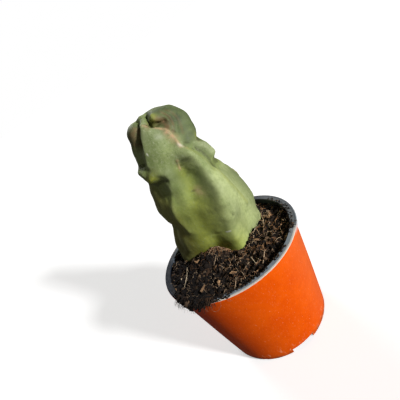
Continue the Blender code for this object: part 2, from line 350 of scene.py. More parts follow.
stem = {
    "sides": 420,
    "rings": 234,
    # height, centre X and Y, half width and half depth, from its buried tip up
    "rows": (
        (50, 1, 19, 0, 0), (51, 1, 19, 12, 9), (56, 1, 19, 22, 15), (66, 0.5, 19, 29, 19),
        (78, 0.2, 19, 33.5, 21), (86, 1, 19, 33, 21.3), (97, 3.2, 18.8, 33, 21.5), (110, 5.2, 18.5, 30, 21),
        (125, 3.2, 18, 27.4, 20), (138, 3.6, 17, 25.6, 19), (150, 3.6, 16, 23.2, 18.5),
        (163, 5.4, 16, 21.6, 17.5), (173, 5.2, 16, 18.8, 15.5), (180, 4, 16, 14.8, 12.5),
        (184.4, 2.6, 16, 8.5, 7.5), (186, 2, 16, 0, 0),
    ),
    # how blunt the tip of a pointed stroke is, in widths
    "tips": {"crest": 0.3, "cut": 0.25, "groove": 0.5},
    "strokeReach": 3.2,  # how far out a stroke is worked out, in widths
    # the skin's general unevenness: push, size and seed
    "uneven": ((0.35, 9, 1), (0.16, 4, 2), (0.05, 1.7, 3)),
    # the folds' shading on the skin: layer, how far it is evened out and how strong it is
    "shading": (("crease", 3, 30), ("hollow", 40, 60)),
    # broad relief: kind, push outward, width, then stops of (angle, height) along a line
    "lobes": (
        ("crest", 2.4, 5, (249, 147), (242, 141), (235, 134), (227, 124), (223, 115), (230, 106)),
        ("swell", 2, 7, (256, 136), (251, 126), (244, 116), (243, 105), (247, 92)),
        ("fold", 4.4, 6.5, (270, 130), (266, 121), (263, 113), (262, 106), (263, 97)),
        ("swell", 3.2, 6, (280, 120), (277, 112), (275, 105), (276, 95), (278, 84), (279, 74)),
        ("swell", 1.2, 5, (275, 122), (275, 114), (276, 106), (277, 98), (278, 90)),
        ("swell", 2.3, 4.4, (282, 153), (280.5, 149)),
        ("swell", -2.9, 5.2, (275, 148), (271, 142.5), (268, 137), (266.5, 131), (265, 126)),
        ("swell", -1.2, 4, (281, 141), (280, 135), (279, 129), (275, 122)),
        ("swell", -1.6, 5, (276, 155), (278, 149)), ("swell", 1.2, 5, (274, 157.5), (276, 155)),
        ("crest", 3.4, 6, (288, 156), (292, 149), (292, 141), (289, 134), (286.5, 126), (281, 117)),
        ("swell", 4.8, 7, (292, 155), (298, 151), (298, 143), (296, 134), (294, 125), (290, 116), (286, 108)),
        ("swell", 7.5, 10, (296, 124), (291, 113), (285, 102), (282, 91), (282, 80), (283, 66)),
        ("swell", 2, 7, (330, 88), (334, 80), (336, 72)),
        ("swell", 1.8, 8, (330, 122), (334, 116), (336, 108), (334, 98)),
        ("swell", 2.8, 5.5, (308, 158), (318, 152), (325, 146), (328, 140)),
        ("swell", 1.8, 5, (336, 150), (341, 146), (339, 141)),
        ("swell", 2.6, 8, (322, 177), (326, 171), (322, 166)),
        ("swell", 1.7, 5, (354, 178), (347, 174), (340, 172)), ("swell", 1.2, 7, (228, 182), (210, 176)),
        ("swell", 1, 5, (190, 180.5), (170, 181), (140, 181)), ("swell", 1.6, 4, (288, 171), (285, 163)),
        ("swell", 1.6, 8, (262, 180), (255, 172), (250, 163), (257, 155), (262, 149)),
        ("crest", 1.8, 4, (246, 181), (234, 176), (229, 169), (223, 163), (221, 160)),
        ("swell", -1.4, 6, (209, 173), (208, 166)), ("swell", 2.2, 3.4, (190, 156), (200, 155)),
        ("swell", 1.4, 4.5, (228, 153), (237, 152)), ("swell", 2.8, 3.6, (215, 150), (220, 151)),
        ("swell", -2, 6, (212, 138), (224, 138), (232, 135)),
        ("crest", 1.4, 3, (213, 148), (222, 151), (236, 153), (247, 151)),
        ("swell", -3, 10, (226, 78), (242, 80), (256, 82)),
        ("swell", 4.2, 8, (58, 176), (56, 165), (62, 156)),
        ("swell", 4.2, 9, (70, 141), (62, 128), (57, 112), (63, 96), (60, 80)),
        ("swell", 2, 7, (68, 143), (62, 136)), ("swell", 1.8, 8, (55, 116), (59, 108)),
        ("swell", 1.6, 7, (66, 92), (60, 84)),
        ("swell", -4.8, 7, (88, 170), (86, 156), (94, 140), (89, 122), (95, 104), (90, 86)),
        ("swell", 4.4, 8, (114, 178), (122, 165), (116, 155)),
        ("swell", 4.4, 9, (106, 140), (118, 128), (124, 112), (114, 97), (118, 80)),
        ("swell", 2, 7, (108, 138), (114, 130)), ("swell", 2, 8, (124, 112), (118, 103)),
        ("swell", -1.6, 6, (112, 91), (122, 90)),
        ("swell", -4.4, 7, (146, 170), (150, 152), (142, 134), (151, 112), (146, 88)),
        ("swell", 2.2, 8, (170, 168), (172, 154)),
        ("swell", 2.6, 8, (160, 136), (166, 122), (160, 108), (164, 92)),
        ("swell", 0.9, 5, (190, 122), (192, 115)), ("swell", -2.3, 6, (188, 106), (190, 98), (194, 92)),
        ("swell", -1.2, 4, (184, 145), (202, 143)),
        ("swell", -4, 7, (30, 162), (25, 146), (33, 128), (27, 108), (32, 86)),
        ("swell", 1.6, 4.5, (60, 168), (57, 160)), ("swell", 1.5, 4, (120, 172), (122, 164)),
        ("swell", 1.5, 3.8, (66, 146), (70, 141)), ("swell", 1.6, 3.8, (110, 139), (106, 133)),
        ("swell", 1.3, 3.4, (20, 121), (24, 116)), ("swell", -1.3, 4.5, (58, 124), (64, 120)),
        ("swell", 1.2, 4, (355, 122), (359, 116)),
    ),
    # creases and folds, pressed in along the relieved surface
    "folds": (
        ("groove", -3.4, 4.2, (305, 157), (311, 151), (316, 145), (318, 139), (315, 132)),
        ("groove", 1.1, 3.6, (314, 132), (311, 120), (313, 108), (314, 99), (316, 88)),
        ("groove", -1.6, 2.6, (286, 162), (292, 158), (300, 154), (307, 149)),
        ("fold", -2.4, 3.2, (318, 137), (334, 135.5), (352, 135), (10, 134)),
        ("groove", -1, 1.8, (288, 163), (297, 160), (306, 158), (318, 156.5)),
        ("crest", 1.3, 2.6, (309, 134), (303.5, 127.5), (303.5, 117.5), (308, 108), (314, 99)),
        ("groove", -1.3, 2, (303, 158), (312, 151), (319, 145), (319, 138), (313, 133)),
        ("groove", -2.8, 2.6, (316, 157), (334, 155), (350, 155), (10, 157)),
        ("groove", -1.3, 1.8, (256, 183), (266, 181), (278, 179), (284, 174), (287, 169), (284, 164)),
        ("groove", -1.2, 2.6, (208, 143), (222, 145.5), (236, 147), (247, 146)),
        ("groove", -1.5, 2.4, (214, 161), (196, 160), (178, 160)),
        ("groove", -1.4, 2.6, (222, 146), (207, 146), (186, 147)),
        ("fold", -3, 4.4, (36, 153), (58, 149), (76, 150), (92, 146)),
        ("fold", -3, 4.4, (94, 150), (112, 148), (130, 144), (150, 147)),
        ("fold", -2.2, 3.8, (4, 141), (24, 136), (44, 133), (60, 123)),
        ("fold", -2, 4.2, (126, 101), (142, 98), (152, 97), (168, 99)),
        ("fold", -2, 4.4, (42, 101), (62, 98), (84, 101)),
        ("fold", -1.8, 4.6, (94, 121), (112, 123), (132, 119)),
    ),
    # deep crevices of the crown
    "crevices": (
        ("cut", -4.8, 2, (60, 185), (0, 185.6), (310, 185.2), (284, 184), (273, 182), (271, 179.8)),
        ("cut", -3.2, 1.5, (271, 179.8), (278, 178.4), (286, 177.4), (296, 177)),
        ("swell", 2.2, 2.8, (281, 181), (286, 182.4)),
        ("cut", -6.5, 2.6, (140, 184.6), (180, 185.6), (225, 184.9), (236, 182), (228, 178), (217, 173)),
        ("fold", -3.6, 3.2, (24, 172), (60, 180), (86, 176), (100, 182), (130, 178), (154, 166)),
    ),
    # fine marks of the skin: raised scars, wrinkles and pits
    "fine": (
        ("crest", 0.5, 1.1, (281, 173.5), (285, 169), (285, 165.5), (281.5, 162.4)),
        ("crest", 0.3, 0.8, (271, 154.2), (269, 147.9)),
        ("cut", -0.7, 0.8, (308, 180), (304, 176), (297, 172.5), (290, 170)),
        ("cut", -0.7, 0.8, (313, 180), (309, 175.5), (301, 171.5), (292, 168.6)),
        ("cut", -0.5, 0.8, (318, 180), (313, 174.5), (305, 170.5), (295, 167)),
        ("cut", -1, 1, (283, 107.5), (283, 105.3)), ("groove", -0.3, 1.2, (336, 90), (334, 84), (334, 78)),
        ("groove", -0.3, 1.2, (326, 92), (323, 85), (322, 78)),
        ("groove", -0.6, 1.6, (50, 171), (60, 168), (70, 170)), ("crest", 0.5, 1.2, (62, 158), (64, 150)),
        ("groove", -0.6, 1.6, (98, 133), (106, 130), (116, 131)), ("cut", -0.8, 1, (118, 112), (119, 110)),
        ("cut", -0.8, 1, (58, 96), (58.5, 94)), ("groove", -0.5, 1.4, (16, 100), (22, 94), (24, 86)),
        ("crest", 0.5, 1.1, (352, 119), (355, 112)),
    ),
    # stains, painted light and painted shade by layer: strength, width, then stops
    "stainsAndShading": {
        "cork": (
            (1, 1.8, (280.5, 171), (282.5, 168), (283.5, 166)), (0.8, 2.3, (281.5, 168.5), (283.2, 165.8)),
            (1, 1, (283.5, 166), (283.6, 164), (282.5, 161)),
            (0.9, 0.9, (257, 180.8), (266, 179.3), (274, 176.4), (281, 173.5), (284, 170)),
            (0.5, 0.6, (281.5, 162.4), (285, 160.3), (289, 158.5)), (0.8, 0.8, (271, 154.2), (269, 147.9)),
            (0.5, 2.2, (273, 127.8), (274, 130.6)), (0.7, 1, (62, 158), (64, 150)),
            (0.6, 0.9, (118, 128), (121, 122)), (0.5, 0.9, (352, 119), (355, 112)),
        ),
        "pale": (
            (0.5, 0.8, (282.4, 161.8), (284.4, 160.8)), (0.12, 5, (318, 153), (327, 149), (332, 144)),
            (1, 0.45, (232, 166.6), (232, 165.6)), (0.8, 0.5, (57, 110), (57.6, 109)),
            (0.8, 0.5, (122, 116), (122.5, 115)), (0.9, 0.5, (272, 96.8), (275, 96.8)),
            (0.2, 1.6, (262, 172), (268, 171)),
        ),
        "rust": (
            (0.7, 2, (288, 179.6), (293, 177.6), (292, 174.8), (286.5, 173)),
            (0.6, 3.6, (226, 181), (214, 179), (206, 174)), (0.6, 1.6, (262, 180.5), (259, 179)),
            (0.45, 0.9, (311, 181), (306.5, 176), (299, 172), (291, 169.3)),
            (0.3, 0.8, (321, 180), (316, 174), (308, 169), (300, 165)), (0.5, 2.4, (120, 178), (112, 174)),
        ),
        "young": (
            (1, 4.4, (214, 149), (220, 150.5), (225, 151.5)), (0.7, 2.6, (281, 180.6), (285, 181.5)),
            (0.45, 4, (272, 148), (269, 140), (266, 133)),
            (0.5, 7, (262, 121), (252, 112), (246, 100), (244, 86)), (0.8, 2, (320, 158.6), (324.5, 156)),
            (0.4, 1.1, (309, 134), (303.5, 127.5), (303.5, 117.5), (308, 108), (314, 99)),
            (0.35, 1, (290, 158), (298, 153), (305.6, 146.6), (306, 140.3), (303.5, 135.3)),
            (0.6, 3, (60, 180), (64, 176)), (0.5, 5, (64, 98), (58, 86)),
        ),
        # sun: painted sunlight, the skin made lighter where the light falls on it
        "sun": (
            (0.5, 4, (277, 151), (283, 150), (282, 146)), (0.25, 4, (240, 123), (240, 112)),
            (0.5, 8, (300, 95), (312, 90), (324, 84)), (0.4, 6, (247, 89), (251, 94), (257, 98)),
            (0.4, 3, (305, 134.6), (312, 133), (320, 132)),
            (0.4, 6, (266, 124), (265, 113), (267, 102), (272, 94)),
            (1, 7.5, (296, 130), (299, 121), (303, 110), (307, 99), (313, 87)),
            (0.6, 8, (274, 108), (280, 97), (290, 84)), (0.4, 5, (338, 128), (334, 136)),
            (0.25, 6, (252, 130), (246, 123)), (0.3, 7, (268, 162), (277, 165)),
            (0.4, 7, (62, 140), (58, 124), (60, 104)), (0.4, 7, (116, 136), (122, 116), (116, 98)),
            (0.7, 3, (279.5, 151.2), (285, 151.8)),
        ),
        # deep: painted shade, the skin made darker in hollows, folds and shaded parts
        "deep": (
            (0.3, 3.5, (276, 99.8), (280, 98)), (0.35, 1.8, (304, 157), (312, 151), (319, 145), (319, 139)),
            (0.15, 4, (256, 126), (255, 121)), (0.25, 4, (231, 113), (234, 103)),
            (0.4, 5, (88, 170), (92, 140), (92, 112), (90, 90)),
            (0.4, 5, (148, 160), (146, 130), (148, 100)), (0.4, 5, (28, 156), (29, 130), (28, 104)),
            (1.2, 7, (295, 176.5), (305, 174.5), (316, 173.5)),
            (0.95, 6, (303, 167), (311, 167), (321, 165)),
            (0.95, 4.2, (298, 161.5), (306, 162), (316, 161.5)),
            (1, 7, (320, 182), (330, 176), (334, 168), (332, 160)),
            (0.8, 5, (225, 184), (212, 180), (200, 176)), (0.45, 8, (342, 117), (343, 108), (342, 98)),
            (0.5, 6, (249, 150), (257, 147), (262, 140)), (0.45, 3.6, (283, 137), (281, 131), (280, 125)),
        ),
    },
}


def smoothRows(keys, rows, wanted):  # rows read along a smooth curve through them
    keys, rows = np.asarray(keys, float), np.asarray(rows, float)
    slopes = np.gradient(rows, keys, axis=0)
    low = np.clip(np.searchsorted(keys, wanted) - 1, 0, len(keys) - 2)
    span = (keys[low + 1] - keys[low])[:, None]
    t = (wanted - keys[low])[:, None] / span
    rise = t * t * (3 - 2 * t)
    ends = rows[low] * (1 - rise) + rows[low + 1] * rise
    return ends + span * t * (1 - t) * ((1 - t) * slopes[low] - t * slopes[low + 1])


def stemKeys():  # how far along the outline each row lies, 0 at the buried tip and 1 at the crown
    rows = np.array(stem["rows"], float)
    steps = np.hypot(np.diff(rows[:, 0]), np.diff(rows[:, 3]))
    lengths = np.concatenate([[0], np.cumsum(steps)])
    return lengths / lengths[-1]


def stemPoints(along, angles):
    rows = smoothRows(stemKeys(), stem["rows"], along)
    turn = np.radians(angles)
    x = rows[:, 1] + rows[:, 3] * np.cos(turn)
    y = rows[:, 2] + rows[:, 4] * np.sin(turn)
    return np.stack([x, y, rows[:, 0]], axis=1)


def stemLine(stops, perStop=5):
    stops = np.array(stops, float)
    stops[:, 0] = np.degrees(np.unwrap(np.radians(stops[:, 0])))
    wanted = np.linspace(0, len(stops) - 1, perStop * (len(stops) - 1) + 1)
    line = smoothRows(np.arange(len(stops)), stops, wanted)
    heights = [row[0] for row in stem["rows"]]
    return stemPoints(np.interp(line[:, 1], heights, stemKeys()), line[:, 0])


def distanceToLine(points, line):  # each point's distance from the line, and its place along it from 0 to 1
    best = np.full(len(points), np.inf)
    place = np.zeros(len(points))
    for number, (start, end) in enumerate(zip(line[:-1], line[1:])):
        along = end - start
        t = np.clip((points - start) @ along / (along @ along), 0, 1)
        distance = np.linalg.norm(points - start - t[:, None] * along, axis=1)
        place = np.where(distance < best, (number + t) / (len(line) - 1), place)
        best = np.minimum(best, distance)
    return best, place


def strokeShape(kind, distance, width):  # pointed for the kinds with a tip, rounded for the others
    blunt = stem["tips"].get(kind, 0) * width
    if blunt:
        return np.exp(-(np.hypot(distance, blunt) - blunt) / (0.62 * width))
    return np.exp(-((distance / width) ** 2))


def strokes(onLine, rows):  # yields the points that each stroke reaches and its weight there
    for kind, strength, width, *stops in rows:
        line = stemLine(stops)
        reach = stem["strokeReach"] * width
        near = np.all((onLine > line.min(0) - reach) & (onLine < line.max(0) + reach), axis=1)
        distance, place = distanceToLine(onLine[near], line)
        weight = strength * strokeShape(kind, distance, width)
        if kind in ("groove", "fold"):  # it fades out at both ends
            weight *= 0.25 + 0.75 * np.sin(np.pi * place) ** 0.7
        yield near, weight


def relief(onLine, rows):
    push = np.zeros(len(onLine))
    for near, weight in strokes(onLine, rows):
        push[near] += weight
    return push[:, None]


def layerStrength(onLine, rows):
    strongest = np.zeros(len(onLine))
    for near, weight in strokes(onLine, [("layerStrength", *row) for row in rows]):
        strongest[near] = np.maximum(strongest[near], weight)
    return strongest


def spread(values, edges, times):  # evens a value out over its neighbours
    count = np.bincount(edges.ravel(), minlength=len(values)) + 1
    for step in range(times):
        total = values.copy()
        total += np.bincount(edges[:, 0], values[edges[:, 1]], len(values))
        total += np.bincount(edges[:, 1], values[edges[:, 0]], len(values))
        values = total / count
    return values


def hollows(points, normals, edges):  # positive in a hollow and negative on a crest
    count = np.bincount(edges.ravel(), minlength=len(points))
    middle = np.stack([
        (np.bincount(edges[:, 0], points[edges[:, 1], axis], len(points))
         + np.bincount(edges[:, 1], points[edges[:, 0], axis], len(points))) / count
        for axis in range(3)
    ], axis=1)
    return ((middle - points) * normals).sum(axis=1)


def fineBall(name, sides, rings):  # a ball subdivided once, and its points' directions
    deselect()
    bpy.ops.mesh.primitive_uv_sphere_add(segments=sides // 2, ring_count=rings // 2, radius=1)
    item = divided(named(name))
    points = readPoints(item.data)
    return item, points / np.linalg.norm(points, axis=1)[:, None]


def sculptStem():
    item, unit = fineBall("stem", stem["sides"], stem["rings"])
    mesh = item.data
    along = np.arccos(np.clip(-unit[:, 2], -1, 1)) / math.pi
    plain = stemPoints(along, np.degrees(np.arctan2(unit[:, 1], unit[:, 0])))
    points = plain
    for rows in ("lobes", "folds", "crevices", "fine"):
        writePoints(mesh, points * mm)
        points = points + readNormals(mesh) * relief(plain, stem[rows])
    writePoints(mesh, points * mm)
    uneven = sum(push * lumps(points, size, seed) for push, size, seed in stem["uneven"])
    points = points + readNormals(mesh) * uneven[:, None]
    writePoints(mesh, points * mm)
    edges = readEdges(mesh)
    raw = hollows(points, readNormals(mesh), edges)
    for name, times, gain in stem["shading"]:
        storeValue(mesh, name, np.clip(spread(raw, edges, times) * gain, -1, 1))
    for name, rows in stem["stainsAndShading"].items():
        storeValue(mesh, name, layerStrength(plain, rows))
    pick(item)
    bpy.ops.object.shade_smooth()
    return item


skinTones = {
    "low": (0.23, 0.26, 0.05),
    "middle": (0.24, 0.30, 0.105),
    "top": (0.20, 0.25, 0.105),
    "bloom": (0.29, 0.35, 0.17),
    "right": (0.26, 0.30, 0.135),
    # the colour of the painted sunlight
    "sun": (0.50, 0.57, 0.25),
    "brown": (0.19, 0.155, 0.045),
    "hollow": (0.17, 0.22, 0.04),
    "crest": (0.33, 0.38, 0.18),
    "paleStreak": (0.38, 0.42, 0.20),
    "darkStreak": (0.14, 0.18, 0.055),
    "scratch": (0.46, 0.46, 0.28),
    "yellow": (1.0, 1.0, 0.66),
    "foot": (1.08, 1.08, 0.7),
    # the colour of the painted shade
    "deep": (0.06, 0.08, 0.035),
    "young": (0.28, 0.30, 0.035),
    "cloud": (0.15, 0.20, 0.06),
    "crease": (0.05, 0.055, 0.015),
    "rust": (0.20, 0.10, 0.05),
    "cork": (0.50, 0.34, 0.19),
    "pale": (0.75, 0.76, 0.62),
    "fleck": (0.42, 0.48, 0.27),
    "paleMottle": (0.40, 0.44, 0.27),
    "darkMottle": (0.13, 0.17, 0.06),
}


def skinFinish():
    skin = Finish("cactus skin", Specular_IOR_Level=0.22)
    layer, ramp, tone = skin.layer, skin.ramp, skinTones
    across, height = skin.axis("X"), skin.axis("Z")
    broad = skin.noise(14, 3.0)
    fine = skin.noise(2.6, 4.0, 0.6)
    speckle = skin.noise(0.8, 2.0)
    streaks = skin.noise(2.4, 4.0, 0.65, 0.3, skin.place((1, 1, 0.16)))
    scratches = skin.noise(0.5, 1.0, 0.5, 0.5, skin.place((1, 1, 0.07), (0.25, 0.3, 0)))
    mottled = skin.noise(1.6, 4.0, 0.7, 0.4)
    hollow = layer("hollow")
    yellow = ramp(across, 0.018, -0.002) * ramp(height, 0.155, 0.115) * ramp(across, -0.032, -0.016)
    foot = ramp(height, 0.1, 0.082) * ramp(across, 0.024, 0.004) * ramp(across, -0.03, -0.014)
    cork = layer("cork") * ramp(fine, 0.3, 0.62, 0.35, 1.0)
    lighter = ramp(layer("deep"), 0.7, 0.0, 0.15, 1.0)  # the painted shade of the deep layer has few light flecks
    weathered = ramp(height, 0.135, 0.155, 0.15, 0.5) * lighter
    colour = skin.coated(
        tone["low"],
        (ramp(height, 0.09, 0.145), tone["middle"]),
        (ramp(height, 0.155, 0.18), tone["top"]),
        (ramp(broad, 0.42, 0.68, 0.0, 0.45), tone["bloom"]),
        # a little lighter and greyer low on the lit right side: painted light
        (ramp(across, 0.002, 0.024, 0.0, 0.9) * ramp(height, 0.15, 0.125), tone["right"]),
        # painted sunlight: the skin made lighter where the light falls
        (layer("sun"), tone["sun"]),
        # browner and darker on the shaded left side: partly the skin's own brown, partly painted shade
        (ramp(across, -0.011, -0.02, 0.0, 0.7) * ramp(height, 0.16, 0.14), tone["brown"]),
        # painted shade in the hollows and a painted highlight on the crests, from the folds' shading layers
        (ramp(hollow, 0.0, 0.8, 0.0, 0.5), tone["hollow"]),
        (ramp(hollow, 0.0, -0.7, 0.0, 0.45), tone["crest"]),
        (ramp(streaks, 0.5, 0.72, 0.0, 0.35), tone["paleStreak"]),
        (ramp(streaks, 0.48, 0.3, 0.0, 0.35), tone["darkStreak"]),
        (ramp(scratches, 0.72, 0.78, 0.0, 0.35), tone["scratch"]),
        (yellow, tone["yellow"], "MULTIPLY"),
        (foot, tone["foot"], "MULTIPLY"),
        # painted shade from the deep layer
        (layer("deep") * 0.85, tone["deep"]),
        (layer("young"), tone["young"]),
        (ramp(fine, 0.35, 0.75, 0.0, 0.35), tone["cloud"]),
        # painted shade in the creases
        (ramp(layer("crease"), 0.35, 1.0, 0.0, 0.6), tone["crease"]),
        (layer("rust") * ramp(fine, 0.3, 0.6, 0.4, 1.0), tone["rust"]),
        (cork, tone["cork"]),
        (layer("pale"), tone["pale"]),
        (ramp(speckle, 0.64, 0.74, 0.0, 0.45) * lighter, tone["fleck"]),
        (ramp(mottled, 0.54, 0.66) * weathered, tone["paleMottle"]),
        (ramp(mottled, 0.46, 0.34) * weathered, tone["darkMottle"]),
    )
    pores = skin.node("TexVoronoi", None, {"Vector": skin.place(), "Scale": 1 / (0.9 * mm)})
    grain = fine * 0.6 + speckle * 0.25 + pores * 0.15 + cork * 0.8 + streaks * 0.5
    skin.feed(
        Base_Color=colour,
        Roughness=ramp(fine, 0.3, 0.8, 0.56, 0.74) + cork * 0.2,
        Normal=skin.bump(grain, 0.25, 0.6),
    )
    return skin


stemPiece = sculptStem()
wear(stemPiece, skinFinish())
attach(stemPiece, "root")
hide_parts("cactus_stem")
print("stem sculpted:", len(stemPiece.data.polygons), "faces")


# the pot

pot = {
    "sides": 192,
    "height": 81.5,
    "lipRadius": 52.5,
    "lipDrop": 2.3,
    "ledgeRadius": 47.8,
    "ledgeThick": 1.0,
    "wallTopRadius": 50.4,
    "wallSwell": 1.2,
    "footRadius": 39.6,
    "footCorner": 2.6,
    "wall": 0.9,
    "channelAngle": 6,
    "channelWidth": 18,
    "channelHeight": 4.7,
    "hubRadius": 20,
    "notchWidth": 3,
    "notchHeight": 2.0,
    "drainRadius": 3,
    "drainReach": 29,
    "drainCutter": (-2, 6),
    "cutterDepth": 1,
    "barLength": 130,
    "softEdge": 0.5,
    "softAngle": 50,
    "smoothAngle": 32,
    # the lip's rounded edge: how far in from its outside and how far below its top
    "lipProfile": (
        (1.7, 0), (0.95, 0), (0.55, 0.06), (0.2, 0.28), (0.02, 0.65),
        (0, 1.1), (0, 1.55), (0.12, 2.0), (0.45, 2.25), (0.9, 2.3),
    ),
    # plastics: how far the back is darkened, then the plain, dull and scuffed colours and the colour of the
    # painted shade, with some soil smear, on the left and at the back
    "plastics": {
        "orange": (0, (0.79, 0.1, 0.002), (0.66, 0.062, 0.001), (0.86, 0.3, 0.11), (0.52, 0.04, 0.001)),
        "grey": (0.74, (0.3, 0.36, 0.42), (0.2, 0.235, 0.27), (0.5, 0.46, 0.4), (0.006, 0.01, 0.018)),
        "pale": (0.82, (0.78, 0.72, 0.64), (0.62, 0.56, 0.48), (0.9, 0.8, 0.7), (0.01, 0.016, 0.028)),
    },
    "darkLine": (0.3, 0.04, 0.01),
    "grime": (0.13, 0.05, 0.02),
    "frayed": (0.9, 0.55, 0.35),
    "bare": (0.60, 0.64, 0.66),
    "speck": (0.9, 0.5, 0.3),
}


def wallRadius(height):  # a straight taper with the faint swell of a moulded pot
    t = height / (pot["height"] - pot["lipDrop"])
    taper = pot["wallTopRadius"] - pot["footRadius"]
    return pot["footRadius"] + taper * t + pot["wallSwell"] * t * (1 - t)


def wallRows(inset, top, rows=24):
    corner = pot["footCorner"]
    heights = [top + (corner - top) * i / rows for i in range(rows + 1)]
    points = [(wallRadius(height) - inset, height) for height in heights]
    edge = points[-1][0]
    for step in range(1, 7):
        turn = math.radians(15 * step)
        side, drop = 1 - math.cos(turn), math.sin(turn)
        points.append((edge - (corner - inset) * side, corner - (corner - inset) * drop))
    return points


def lipRows():
    return [(pot["lipRadius"] - inward, pot["height"] - drop) for inward, drop in pot["lipProfile"]]


def pulledDown(name, rows, sides):  # a filled disc pulled down and resized row by row
    deselect()
    radius, height = rows[0]
    bpy.ops.mesh.primitive_circle_add(
        vertices=sides, radius=radius * mm, fill_type="NGON", location=(0, 0, height * mm))
    item = named(name)
    mode("EDIT")
    bpy.ops.mesh.select_all(action="SELECT")
    for nextRadius, nextHeight in rows[1:]:
        drop = (0, 0, (nextHeight - height) * mm)
        bpy.ops.mesh.extrude_region_move(TRANSFORM_OT_translate={"value": drop})
        share = nextRadius / radius
        bpy.ops.transform.resize(value=(share, share, 1), center_override=(0, 0, 0))
        radius, height = nextRadius, nextHeight
    bpy.ops.mesh.select_all(action="SELECT")
    bpy.ops.mesh.normals_make_consistent(inside=False)
    mode("OBJECT")
    return settle(item)


def footBar(width, height, angle):
    deselect()
    deep = pot["cutterDepth"]
    bpy.ops.mesh.primitive_cube_add(size=1, location=(0, 0, (height - deep) / 2 * mm))
    bpy.ops.transform.resize(value=(pot["barLength"] * mm, width * mm, (height + deep) * mm))
    item = settle(named("foot bar"))
    item.rotation_euler = (0, 0, math.radians(angle))
    return settle(item)


def drum(radius, bottom, top, x=0, y=0, sides=48):
    deselect()
    place = (x * mm, y * mm, (top + bottom) / 2 * mm)
    bpy.ops.mesh.primitive_cylinder_add(
        vertices=sides, radius=radius * mm, depth=(top - bottom) * mm, location=place)
    return settle(named("drum"))


def pressFoot(item, grow):  # the hub, four broad channels and four small notches under the pot
    cut(item, drum(pot["hubRadius"] + grow, -pot["cutterDepth"], pot["channelHeight"] + grow, sides=96))
    for turn in (0, 90):
        angle = pot["channelAngle"] + turn
        cut(item, footBar(pot["channelWidth"] + 2 * grow, pot["channelHeight"] + grow, angle))
        cut(item, footBar(pot["notchWidth"] + 2 * grow, pot["notchHeight"] + grow, angle + 45))


def moulded():
    sides, wall = pot["sides"], pot["wall"]
    item = pulledDown("pot_shell", lipRows() + wallRows(0, pot["height"] - pot["lipDrop"]), sides)
    pressFoot(item, 0)
    soften = item.modifiers.new("Soft edges", "BEVEL")
    soften.width = pot["softEdge"] * mm
    soften.segments = 2
    soften.limit_method = "ANGLE"
    soften.angle_limit = math.radians(pot["softAngle"])
    applyAll(item)
    ledge, under = pot["ledgeRadius"], pot["height"] - pot["ledgeThick"]
    rows = [(ledge, pot["height"] + 3), (ledge, under)] + wallRows(wall, under - 0.7)
    room = pulledDown("room", rows, sides)
    pressFoot(room, wall)
    cut(item, room)
    drains = [around(pot["drainReach"], math.radians(pot["channelAngle"] + 90 * turn)) for turn in range(4)]
    for x, y in (*drains, (0, 0)):
        cut(item, drum(pot["drainRadius"], *pot["drainCutter"], x, y))
    return item


def plasticFinish(name):
    plastic = Finish(f"{name} plastic", Specular_IOR_Level=0.03)
    ramp = plastic.ramp
    behind, colour, dull, scuffed, smearAndShadeColour = pot["plastics"][name]
    broad = plastic.noise(22, 2.0)
    grain = plastic.noise(0.5, 2.0)
    scuffs = plastic.noise(2.2, 5.0, 0.7, 0.6, plastic.place((1, 1, 0.35)))
    specks = plastic.noise(1.1, 1.0)
    lines = plastic.noise(0.35, 1.0, 0.5, 0.3, plastic.place((1, 1, 0.05), (0.5, 0.35, 0)))
    cloudy = plastic.noise(5, 4.0, 0.6, 0.5)
    across, height = plastic.axis("X"), plastic.axis("Z")
    # painted shade with some smear of soil: darker on the left side, and at the back for the grey and pale
    # plastics
    smearAndShade = ramp(across, -0.03, -0.046) + ramp(across + plastic.axis("Y"), 0.006, 0.02, 0.0, behind)
    shade = plastic.coated(
        colour,
        (ramp(broad, 0.3, 0.7, 0.0, 0.5), dull),
        (ramp(cloudy, 0.45, 0.7, 0.0, 0.35), dull),
        (ramp(scuffs, 0.60, 0.80, 0.0, 0.22), scuffed),
        (ramp(lines, 0.66, 0.7, 0.0, 0.3), scuffed),
        (ramp(lines, 0.33, 0.29, 0.0, 0.3), pot["darkLine"]),
        # paler towards the lit right side: painted sheen
        (ramp(across, 0.012, 0.05, 0.0, 0.22), scuffed),
        (ramp(height, 0.007, 0.0005, 0.0, 0.85) * ramp(cloudy, 0.35, 0.6, 0.4, 1.0), pot["grime"]),
        (ramp(height, 0.014, 0.003) * ramp(scuffs, 0.56, 0.68, 0.0, 0.6), pot["frayed"]),
        (ramp(height, 0.0786, 0.0794) * ramp(across, 0.038, 0.046), pot["bare"]),
        (smearAndShade, smearAndShadeColour),
        (ramp(specks, 0.72, 0.77, 0.0, 0.4), pot["speck"]),
    )
    plastic.feed(
        Base_Color=shade,
        Roughness=ramp(scuffs, 0.35, 0.75, 0.38, 0.6),
        Normal=plastic.bump(grain * 0.5 + scuffs, 0.06, 0.5),
    )
    return plastic


def paintPot(item):
    wear(item, *(plasticFinish(name) for name in pot["plastics"]))
    pick(item)
    mode("EDIT")
    for slot, wanted in ((1, isInside), (2, isRim)):
        bpy.ops.mesh.select_all(action="DESELECT")
        mode("OBJECT")
        for face in item.data.polygons:
            face.select = wanted(face)
        mode("EDIT")
        item.active_material_index = slot
        bpy.ops.object.material_slot_assign()
    mode("OBJECT")


def isInside(face):  # the inner wall, the floor of the pot and the flat top of the lip
    x, y, z = face.center / mm
    facesIn = face.normal.x * x + face.normal.y * y < 0 or face.normal.z > 0.7
    onTop = z > pot["height"] - 0.05
    return onTop or (z > 1 and facesIn and math.hypot(x, y) < wallRadius(z) - 0.4)


